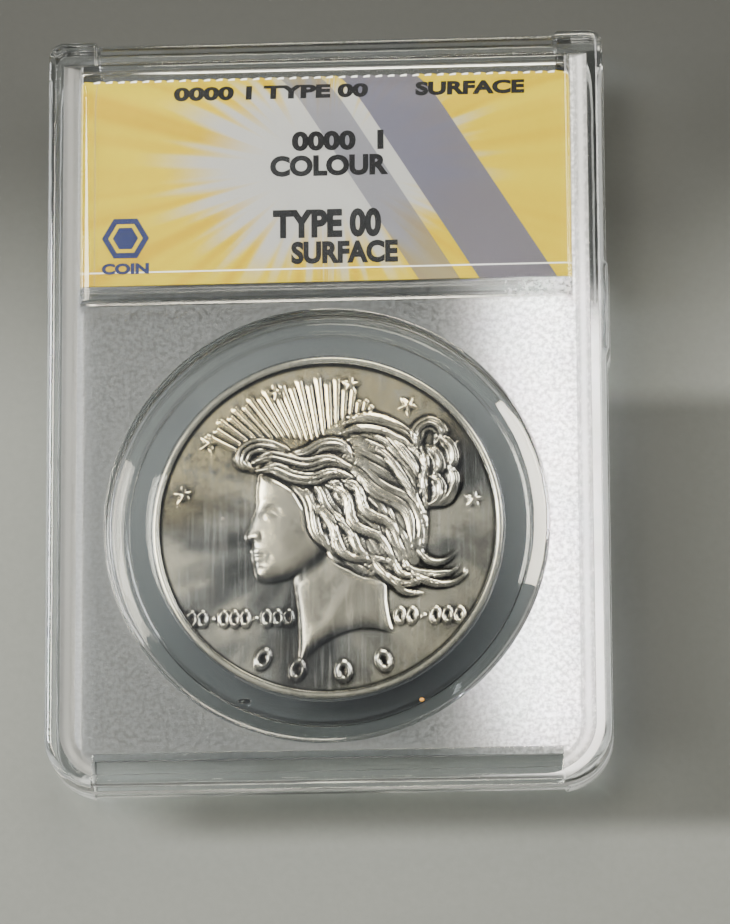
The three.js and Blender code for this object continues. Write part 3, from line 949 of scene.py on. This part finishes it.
def head_relief(x, y):
    """A head in profile to the left: face, neck, waved hair with a knot at the back, a roll of hair
    over the brow and rays above it. Heights in mm above the field, from the coin's middle."""
    face = curve([(-7.0, 6.9), (-7.5, 5.2), (-7.65, 3.6), (-7.62, 2.5), (-7.95, 1.4), (-8.6, -0.1),
                  (-8.9, -0.85), (-8.76, -1.3), (-8.24, -1.62), (-8.1, -2.0), (-8.28, -2.5),
                  (-8.22, -2.8), (-8.1, -3.0), (-8.17, -3.25), (-8.1, -3.6), (-7.88, -4.0),
                  (-7.92, -4.7), (-7.7, -5.4), (-7.1, -5.9), (-6.2, -6.0), (-4.8, -5.75),
                  (-3.0, -5.0), (-1.2, -3.7), (0.6, -1.6), (2.2, 1.5), (2.5, 5.0), (0.0, 8.0),
                  (-4.0, 8.3)], 6, closed=True)
    neck = np.vstack([
        curve([(-3.6, -3.0), (-3.55, -6.0), (-3.25, -8.2), (-3.05, -10.5), (-3.0, -13.0),
               (-3.15, -15.2)], 6),
        curve([(-3.05, -15.25), (-2.0, -14.0), (-0.4, -12.7), (1.8, -11.65), (4.3, -11.25),
               (6.9, -11.75)], 6),
        curve([(7.0, -11.6), (6.6, -9.8), (6.35, -8.0), (6.4, -6.0), (6.4, -2.0)], 6)])
    crown = curve([(-8.6, 7.2), (-8.9, 8.4), (-7.8, 9.6), (-5.0, 10.1), (-2.0, 9.8), (0.2, 11.2),
                   (2.4, 12.6), (5.0, 12.7), (8.0, 11.6), (10.1, 9.6), (10.8, 6.5), (10.8, 3.0),
                   (10.9, -0.5), (10.4, -3.2), (9.0, -5.0), (6.8, -6.2), (4.0, -5.6), (1.4, -4.2),
                   (0.0, -1.6), (-0.8, 1.2), (-2.6, 3.6), (-4.6, 4.9), (-6.8, 5.9)], 6, closed=True)
    d_face, d_neck, d_crown = (inside(x, y, outline) for outline in (face, neck, crown))

    form = sum(mound(x, y, *row) for row in FACE_MOUNDS) + sum(ridge(x, y, *row) for row in FACE_LINES)
    h_face = quarter(d_face, 3.2) / 3.2 * 0.29 + form * smoothstep(0.0, 0.5, d_face)

    # the neck, with its long muscle and the hollow before it, under the jaw's shadow line
    form = ridge(x, y, [(3.6, -4.6), (1.6, -8.0), (-0.6, -11.6), (-2.0, -13.6)], 0.9, 0.035)
    form += mound(x, y, (-1.6, -8.6), (0.9, 2.6), -0.025, 20)
    h = np.maximum(quarter(d_neck, 2.0) / 2.0 * 0.24 + form * smoothstep(0.0, 0.6, d_neck), 0)
    h = h * (1 - 0.5 * smoothstep(-1.5, 0.0, d_face) * (d_face <= 0))
    h = np.where(d_face > 0, np.maximum(h_face, 0.6 * h), h)

    # the hair's mass, then its locks from the lowest up
    h = h * (1 - 0.35 * smoothstep(-0.55, 0.0, d_crown) * (d_crown <= 0))
    h = np.where(d_crown > 0, np.maximum(quarter(d_crown, 2.2) / 2.2 * 0.17, h * 0.5), h)
    for first, last, count, wave, waves, seed, width, height in HAIR:
        for path in family(first, last, count, wave, waves, seed):
            h = lock(x, y, h, path, width, height)
    for points, width in LOOSE_ENDS:
        h = lock(x, y, h, curve(points), width, 0.25)
    for points, width in KNOT:
        h = lock(x, y, h, curve(points), width, 0.36, 2, 0.2, 0.25)
    for points, width in BROW_ROLL:
        h = lock(x, y, h, curve(points), width, 0.34, 3, 0.2, 0.35)
    return np.maximum(h, rays(x, y))


def rays(x, y, count=22):
    """Thin wedges that fan out from behind the brow: each starts on an arc, widens outwards and ends
    near the rim, and every other one is a little shorter."""
    h = np.zeros(x.shape)
    for k in range(count):
        f = k / (count - 1)
        arc = math.sin(math.pi * min(1, f * 1.6))
        root = np.array([-9.2 + 13.4 * f, 8.4 + 1.6 * arc + 3.1 * f ** 2])
        angle = math.radians(153 - 80 * f ** 0.85)
        way = np.array([math.cos(angle), math.sin(angle)])
        out = root @ way
        reach = math.sqrt(max(out * out + RAY_END_R ** 2 - root @ root, 0)) - out
        reach *= 1 - 0.45 * smoothstep(0.72, 1.0, f) - 0.10 * (k % 2)
        px, py = x - root[0], y - root[1]
        t = (px * way[0] + py * way[1]) / reach
        across = np.abs(px * way[1] - py * way[0]) / (0.20 + 0.22 * np.clip(t, 0, 1))
        body = np.clip(1 - across, 0, 1) ** 0.8
        body = body * smoothstep(-0.12, 0.03, t) * smoothstep(1.02, 0.93, t)
        h = np.maximum(h, 0.12 * body)
    return h


def chip(d, width, height):
    """A flat-topped mark from the distance inside its outline."""
    return height * np.clip(d / width, 0, 1) ** 0.75


def nought(x, y, centre, turn, size):
    """Distance inside an oval ring of the given half-width and half-height, positive inside."""
    px, py = x - centre[0], y - centre[1]
    u = (px * math.cos(turn) + py * math.sin(turn)) / size[0]
    v = (py * math.cos(turn) - px * math.sin(turn)) / size[1]
    return 0.33 - np.abs(np.hypot(u, v) - 0.80)


def round_edge(degrees):
    """The angle in radians and the place of a mark on the circle that the edge marks stand on."""
    a = math.radians(degrees)
    return a, (MARK_R * math.cos(a), MARK_R * math.sin(a))


def edge_marks(x, y):
    """Stars round the edge, rows of noughts and points beside the neck and four larger noughts below
    it."""
    h = np.zeros(x.shape)
    for degrees in (166, 143, 110, 81, 57, 33, 10):
        a, centre = round_edge(degrees)
        h = np.maximum(h, chip(star(x, y, centre, 1.35, a), 0.35, 0.17))
    for row in (np.linspace(-14.8, -4.3, 10), np.linspace(7.8, 14.2, 6)):
        for k, middle in enumerate(row):
            if k % 4 == 2:
                d = 0.28 - np.hypot(x - middle, y - ROW_Y)
            else:
                d = nought(x, y, (middle, ROW_Y), 0.0, (0.55, 0.92))
            h = np.maximum(h, chip(d, 0.22, 0.15))
    for degrees in (244, 258, 276, 292):
        a, centre = round_edge(degrees)
        d = nought(x, y, centre, a + math.pi / 2, (0.76, 1.15))
        h = np.maximum(h, chip(d, 0.24, 0.18))
    return h


def wreath_relief(x, y):
    """The coin's back: a star in a wreath of leaves and berries, inside a ring of pellets."""
    h = chip(star(x, y, (0, 0), 6.4, math.pi / 2), 2.4, 0.26)
    for k in range(36):
        side = 1 if k % 2 else -1
        a = math.radians(-78 + 336 * (k // 2) / 17 + (6 if side > 0 else 0))
        lean = a + math.pi / 2 - side * 0.55
        px, py = x - (LEAF_R + side) * math.cos(a), y - (LEAF_R + side) * math.sin(a)
        u = px * math.cos(lean) + py * math.sin(lean)
        v = py * math.cos(lean) - px * math.sin(lean)
        d = 1 - (u / 1.75) ** 2 - (np.abs(v) / 0.62)
        vein = 1 - 0.35 * np.exp(-(v / 0.09) ** 2)
        h = np.maximum(h, 0.20 * np.clip(d, 0, 1) ** 0.6 * vein)
    angle = (np.arctan2(y, x) + math.pi / 64) % (math.pi / 32) - math.pi / 64
    pellet = 0.34 - np.hypot(np.hypot(x, y) - PELLET_R, PELLET_R * angle)
    return np.maximum(h, chip(pellet, 0.25, 0.12))


def softened(field, times):
    """A field averaged with its four neighbours a number of times."""
    for _ in range(times):
        wide = np.pad(field, 1, mode="edge")
        field = (wide[:-2, 1:-1] + wide[2:, 1:-1] + wide[1:-1, :-2] + wide[1:-1, 2:] + 4 * field) / 8
    return field


def coin_face(cells, relief):
    """One face of the coin on a square grid whose outline becomes its edge: the relief on a field
    inside a raised rim. Gives X, Y, height above the field, and how deep each point lies in it."""
    line = np.linspace(-1, 1, cells + 1)
    a, b = np.meshgrid(line, line)
    x, y = disc_of(a, b, 0.3)
    x, y = x * (COIN_R - COIN_BEVEL), y * (COIN_R - COIN_BEVEL)
    r = np.hypot(x, y)
    marks = relief(x, y) * smoothstep(COIN_R - COIN_RIM - 0.3, COIN_R - COIN_RIM - 0.6, r)
    marks = softened(marks, 1)
    rim = FIELD_DROP * smoothstep(COIN_R - COIN_RIM - 0.22, COIN_R - COIN_RIM, r)
    h = np.maximum(marks, rim)
    # how far each point lies below its softened surroundings, which the finish darkens as patina and painted
    # shade
    hollow = np.clip((softened(h, HOLLOW_REACH) - h) / HOLLOW_DEPTH, 0, 1)
    return x, y, h, hollow


def struck_coin(material):
    """The coin: both faces and an edge of upright reeds between them, with two steps of the front's
    outline to one of the back's where they meet."""
    front = coin_face(COIN_CELLS, lambda x, y: np.maximum(head_relief(x, y), edge_marks(x, y)))
    back = coin_face(COIN_CELLS // 2, wreath_relief)
    level = COIN_HALF - FIELD_DROP
    sheets, numbers, count = [], [], 0
    for (x, y, h, hollow), side in ((front, 1), (back, -1)):
        z = SEAM + side * (level + h)
        columns = x, y + COIN_Y, z, h, hollow
        sheets.append(np.column_stack([column.ravel() for column in columns]))
        numbers.append(count + np.arange(x.size).reshape(x.shape))
        count += x.size
    rim_front, rim_back = outline_of(numbers[0]), outline_of(numbers[1])
    points = np.vstack(sheets)
    around = points[rim_front, :2] - [0, COIN_Y]
    angle = np.arctan2(around[:, 1], around[:, 0])
    reed = REED_DEPTH * (0.5 + 0.5 * np.cos(REEDS * angle))
    loops = []
    for z, depth in ((COIN_HALF - 0.04, 0.05), (COIN_HALF - 0.16, 0.25), (COIN_HALF - 0.24, 1.0),
                     (0.24 - COIN_HALF, 1.0), (0.16 - COIN_HALF, 0.25), (0.04 - COIN_HALF, 0.05)):
        radius = COIN_R - 0.02 * (abs(z) > COIN_HALF - 0.1) - reed * depth
        loops.append(np.column_stack([radius * np.cos(angle), COIN_Y + radius * np.sin(angle),
                                      np.full(len(angle), SEAM + z), np.full(len(angle), FIELD_DROP),
                                      reed * depth * 10]))
    size = len(rim_front)
    table = np.vstack([rim_front, count + np.arange(len(loops) * size).reshape(-1, size)])
    points = np.vstack([points] + loops)
    last, back_rim = looped(table[-1:])[0], looped(rim_back[None])[0]
    even, odd, after = last[:-1:2], last[1::2], last[2::2]
    seam = [np.stack([even, odd, back_rim[:-1]], -1), np.stack([odd, after, back_rim[1:]], -1),
            np.stack([odd, back_rim[1:], back_rim[:-1]], -1)]
    faces = [quads(numbers[0]), quads(numbers[1]), quads(looped(table))] + seam
    return piece("struck_coin", points[:, :3], faces, material, ["coin"], facet=60,
                 attributes={"relief": points[:, 3], "hollow": points[:, 4]})


# ---------------------------------------------------------------- the cards and their print

def on_card(x, run, lift):
    """A point on the front card: flat for the first run, then round the bend, lifted off its face
    by lift along its normal."""
    past = np.maximum(run - FLAT_RUN, 0) / BEND_R
    radius = BEND_R + lift
    y = CARD_LOW + np.minimum(run, FLAT_RUN) + radius * np.sin(past)
    z = CARD_TOP - BEND_R + radius * np.cos(past)
    return np.stack(np.broadcast_arrays(x, y, z), -1)


def flipped_card(x, run, lift):
    """A point on the back card, which is flat and faces the back."""
    return np.stack(np.broadcast_arrays(-x, back_low[1] + run, back_low[2] - lift), -1)


def card(name, node, place, run, columns, rows, torn, material):
    """A card as two faces a thickness apart, joined round their outline; a torn end is scalloped
    where its perforations parted, with the paper's fibre standing a little off its face."""
    x = np.linspace(-CARD_X, CARD_X, columns)[None, :]
    ends = [0.0, 0.05], [run - 0.25, run - 0.1, run]
    s = np.concatenate([ends[0], np.linspace(0.4, run - 0.5, rows), ends[1]])[:, None]
    scallop = np.abs(np.sin(math.pi * x / TEAR_PITCH)) ** 0.6
    grain = 0.06 * np.sin(41 * x) * np.sin(17.3 * x + 1)
    tear = torn * (TEAR_DEPTH * (1 - scallop) + grain) * smoothstep(run - 0.6, run, s)
    curl = torn * 0.07 * scallop * smoothstep(run - 0.5, run, s)
    sheets = [place(x, s - tear, curl - t) for t in (0.0, CARD_THICK)]
    index = np.arange(x.size * s.size).reshape(s.size, x.size)
    rims = np.vstack([outline_of(index), outline_of(index) + index.size])
    points = np.vstack([sheet.reshape(-1, 3) for sheet in sheets])
    uv = np.stack(np.broadcast_arrays(x, s), -1).reshape(-1, 2)
    faces = [quads(index), quads(index + index.size), quads(looped(rims))]
    return piece(name, points, faces, material, [node], facet=50, uv=np.vstack([uv, uv]))


def words(text, size, left, run, width=None, bold=0.07):
    """The outline of some words as thin closed solids: points in mm with their run in Y and their
    lift in Z, and their faces. They start at left and are stretched to a width if one is given."""
    font = bpy.data.curves.new("words", "FONT")
    font.body = text
    font.size = size / CAPITAL_SHARE
    font.extrude = 0.5
    font.offset = bold * size
    font.resolution_u = 4
    thing = bpy.data.objects.new("words", font)
    bpy.context.scene.collection.objects.link(thing)
    mesh = bpy.data.meshes.new_from_object(thing)
    bpy.data.objects.remove(thing)
    work = bmesh.new()
    work.from_mesh(mesh)
    bmesh.ops.remove_doubles(work, verts=work.verts, dist=1e-4)
    for cut in np.arange(-0.3, 1.3, 0.12) * size:
        bmesh.ops.bisect_plane(work, geom=work.verts[:] + work.edges[:] + work.faces[:],
                               plane_co=(0, cut, 0), plane_no=(0, 1, 0))
    work.verts.ensure_lookup_table()
    points = np.array([v.co for v in work.verts])
    faces = [[v.index for v in face.verts] for face in work.faces]
    work.free()
    bpy.data.meshes.remove(mesh)
    low, high = points[:, 0].min(), points[:, 0].max()
    stretch = width / (high - low) if width else 1.0
    points[:, 0] = left + (points[:, 0] - low) * stretch
    points[:, 1] += run
    points[:, 2] = INK_LIFT * (points[:, 2] > 0) + INK_SINK * (points[:, 2] <= 0)
    return points, faces


def shape(outline_points, hole=None):
    """A flat mark from its outline, as a thin closed solid, with a hole of as many points if given."""
    outer = np.asarray(outline_points, float)
    inner = outer * 0 + outer.mean(0) if hole is None else np.asarray(hole, float)
    rings = [(outer, INK_SINK), (outer, INK_LIFT), (inner, INK_LIFT), (inner, INK_SINK)]
    size = len(outer)
    points = np.vstack([np.column_stack([ring, np.full(size, lift)]) for ring, lift in rings])
    table = np.arange(4 * size).reshape(4, size)
    return points, quads(looped(np.vstack([table, table[:1]]))).tolist()


def hexagon(x, run, radius):
    """A hexagon's outline, from its six corners on a circle."""
    angle = np.linspace(0, 2 * math.pi, 6, endpoint=False)
    return np.column_stack([x + radius * np.cos(angle), run + radius * np.sin(angle)])


def printed(name, parts, place, material):
    """Printed marks joined into one piece and laid on a card."""
    points, faces, count = [], [], 0
    for part_points, part_faces in parts:
        points.append(place(part_points[:, 0], part_points[:, 1], part_points[:, 2]))
        faces.append([[count + corner for corner in face] for face in part_faces])
        count += len(part_points)
    return piece(name, np.vstack(points), faces, material, facet=40)


# ---------------------------------------------------------------- the object

frosted_plastic = clear_plastic("grained_clear_plastic", True)
polished_plastic = clear_plastic("polished_clear_plastic", False)
black_ink = ink("black_ink", BLACK_INK)
navy_ink = ink("navy_ink", NAVY_INK)

holder_half("front_holder", "front_shell", 1, frosted_plastic)
holder_half("back_holder", "back_shell", -1, frosted_plastic)
weld_line(polished_plastic)
ring_half("front_ring", "coin_ring_front", 1, polished_plastic)
ring_half("back_ring", "coin_ring_back", -1, polished_plastic)
struck_coin(struck_silver())

card("front_card", "front_label", on_card, FRONT_RUN, 470, 60, 1.0, printed_card("label_card", False))
card("back_card", "back_label", flipped_card, back_high[1] - back_low[1], 40, 20, 0.0,
     printed_card("back_label_card", True))
printed("front_words", [
    words("0000 1 TYPE 00", 1.95, -16.8, FLAT_RUN + 2.4, 21.5),
    words("SURFACE", 1.95, 9.9, FLAT_RUN + 2.4, 12.0),
    words("0000  1", 2.05, -3.7, 15.1, 10.1),
    words("COLOUR", 2.2, -6.1, 12.2, 13.0),
    words("TYPE 00", 3.0, -5.8, 5.2, 11.9),
    words("SURFACE", 2.35, -3.8, 2.2, 11.7),
], on_card, black_ink)
printed("front_emblem", [
    shape(hexagon(-22.0, 5.4, 2.6), hexagon(-22.0, 5.4, 1.9)),
    shape(hexagon(-22.0, 5.4, 1.4)),
    words("COIN", 1.15, -24.6, 1.4, 5.2),
], on_card, navy_ink)
dome_on_ring("mould_mark", -9.0, 19.2, (0.75, 0.28, 0.06), polished_plastic)
dome_on_ring("speck", 10.1, 19.4, (0.26, 0.22, 0.05), ink("amber_speck", AMBER_INK))
sides = -20 + np.cumsum(np.random.default_rng(4).choice([0.25, 0.4, 0.6], 72)).reshape(-1, 2)
bars = [shape([(a, BAR_LOW), (b, BAR_LOW), (b, BAR_HIGH), (a, BAR_HIGH)]) for a, b in sides]
printed("back_marks", bars + [
    words("0000 0000", 2.2, -18.0, 7.0, 22.0),
    words("TYPE 00", 2.2, -18.0, 3.0, 13.0),
], flipped_card, black_ink)


# ---------------------------------------------------------------- the floor, the light and the camera

FLOOR_HALF = 3.0


def floor():
    """A wide grey table top with a faint grain. Painted shade darkens it towards its far end, and painted
    shadows darken it over a broad patch beside and below the slab and in a strip close to the slab's
    right side."""
    f = Finish("table_top")
    x, y, _, at = f.place()
    grain = f.noise(at, 0.9, 3.0)
    # painted shade, darkening the table towards its far end
    painted_far_shade = y.step(-4.0, 34.0) * 0.79
    open_floor = x.step(27.0, 31.0).maths("MAXIMUM", y.step(-40.0, -43.0))
    # painted shadow over a broad patch beside and below the slab, deeper on the open floor
    beside = x.step(-24.0, -12.0) * y.step(4.0, 0.0) * y.step(-47.5, -44.0)
    beside = beside * (open_floor * 0.25 + 0.32)
    # painted shadow in a strip close to the slab's right side
    painted_edge_shadow = x.step(29.0, 31.0) * x.step(46.0, 34.0) * y.step(32.0, 22.0) * y.step(-44.0, -34.0)
    # how much of the table's own grey the painted shade and shadows leave
    shade = (1 - painted_far_shade) * (1 - beside) * (1 - painted_edge_shadow * 0.4)
    colour = f.blend(shade, grey(0.0), f.blend(grain, *TABLE_GREY))
    surface = f.shader("ShaderNodeBsdfPrincipled", {
        "Base Color": colour, "Roughness": 0.75, "Normal": f.bumps(grain, 0.02)})
    mesh = bpy.data.meshes.new("floor")
    corners = [(-1, -1), (1, -1), (1, 1), (-1, 1)]
    mesh.from_pydata([(FLOOR_HALF * a, FLOOR_HALF * b, 0) for a, b in corners], [], [(0, 1, 2, 3)])
    mesh.materials.append(f.done(surface))
    made = bpy.data.objects.new("floor", mesh)
    bpy.context.scene.collection.objects.link(made)


def lamp(name, place, size, power, tint=(1, 1, 1), aim=(0, 0, 0), spread=180):
    """A soft rectangular lamp that faces a point, in metres; size is its width and its height, and
    spread the angle of its beam in degrees."""
    light = bpy.data.lights.new(name, "AREA")
    light.shape = "RECTANGLE"
    light.size, light.size_y = size
    light.spread = math.radians(spread)
    light.energy = power
    light.color = tint
    made = bpy.data.objects.new(name, light)
    made.location = place
    way = Vector(aim) - Vector(place)
    made.rotation_euler = way.to_track_quat("-Z", "Y").to_euler()
    bpy.context.scene.collection.objects.link(made)


floor()
world = bpy.data.worlds.new("room")
world.use_nodes = True
sky = world.node_tree.nodes["Background"].inputs
sky["Color"].default_value = (0.95, 0.98, 1.0, 1)
sky["Strength"].default_value = 0.10
bpy.context.scene.world = world
lamp("window_light", (-0.25, 0.10, 0.50), (0.18, 0.14), 2.7, (1.0, 0.93, 0.76))
lamp("side_light", (-0.52, 0.10, 0.25), (0.16, 0.14), 3.6, (0.98, 0.99, 1.0))
lamp("ceiling_light", (-0.27, 0.19, 0.80), (0.40, 0.40), 0.09, (0.9, 0.95, 1.0))
lamp("top_light", (0.08, 0.60, 0.50), (0.34, 0.20), 4.2, (1.0, 0.93, 0.74))
lamp("right_light", (0.33, 0.24, 0.48), (0.26, 0.22), 1.7, (1.0, 0.98, 0.94))
lamp("edge_light", (0.05, -0.010, 0.30), (0.055, 0.007), 0.009, aim=(0.0228, -0.010, 0.007), spread=3)

camera = bpy.data.cameras.new("camera")
camera.sensor_width = 36
camera.lens = 239.55
eye = bpy.data.objects.new("camera", camera)
eye.location = (0.04543, -0.17303, 0.650)
eye.rotation_euler = (0.2527, 0.0654, -0.0052)
bpy.context.scene.collection.objects.link(eye)
bpy.context.scene.camera = eye
